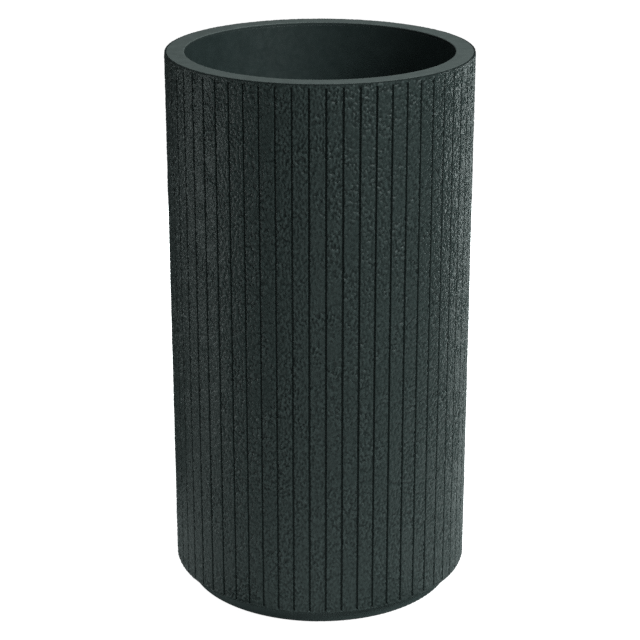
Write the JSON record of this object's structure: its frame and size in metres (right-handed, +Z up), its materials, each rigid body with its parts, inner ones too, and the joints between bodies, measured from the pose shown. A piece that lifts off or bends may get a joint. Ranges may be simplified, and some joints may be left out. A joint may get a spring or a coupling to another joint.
{
  "type": "planter",
  "caption": "Tall round floor planter with fine vertical grooves in a stucco-textured wall, a broad flat rim, a recessed plinth, a lift-out planting shelf and a drain plug.",
  "frame": {"origin": "centre of the footprint, on the floor under the rubber pads", "axes": "+Z up along the planter's own axis, -Y towards the front of the picture"},
  "size_m": [0.381, 0.381, 0.7],
  "materials": {
    "textured_gelcoat": "matte",
    "smooth_gelcoat": "matte",
    "liner_gelcoat": "matte",
    "plinth_gelcoat": "matte",
    "raw_laminate": "satin",
    "black_rubber": "matte",
    "shelf_plastic": "satin",
    "zinc_steel": "satin"
  },
  "bodies": {
    "planter": {"outer_shell": "textured_gelcoat", "rim_ring": "smooth_gelcoat", "inner_liner": "liner_gelcoat", "stiffener_hoops": "raw_laminate", "base_plate": "raw_laminate", "plinth_ring": "plinth_gelcoat", "plinth_screws": "zinc_steel", "foot_pads": "black_rubber", "drain_collar": "shelf_plastic", "shelf_cleats": "raw_laminate"},
    "plug": {"drain_plug": "black_rubber"},
    "shelf": {"insert_shelf": "shelf_plastic"}
  },
  "joints": [
    {"name": "plug_pull", "type": "slide", "parent": "planter", "child": "plug", "axis": [0, 0, 1], "range_m": [0, 0.06]},
    {"name": "shelf_lift", "type": "slide", "parent": "planter", "child": "shelf", "axis": [0, 0, 1], "range_m": [0, 0.32]}
  ]
}
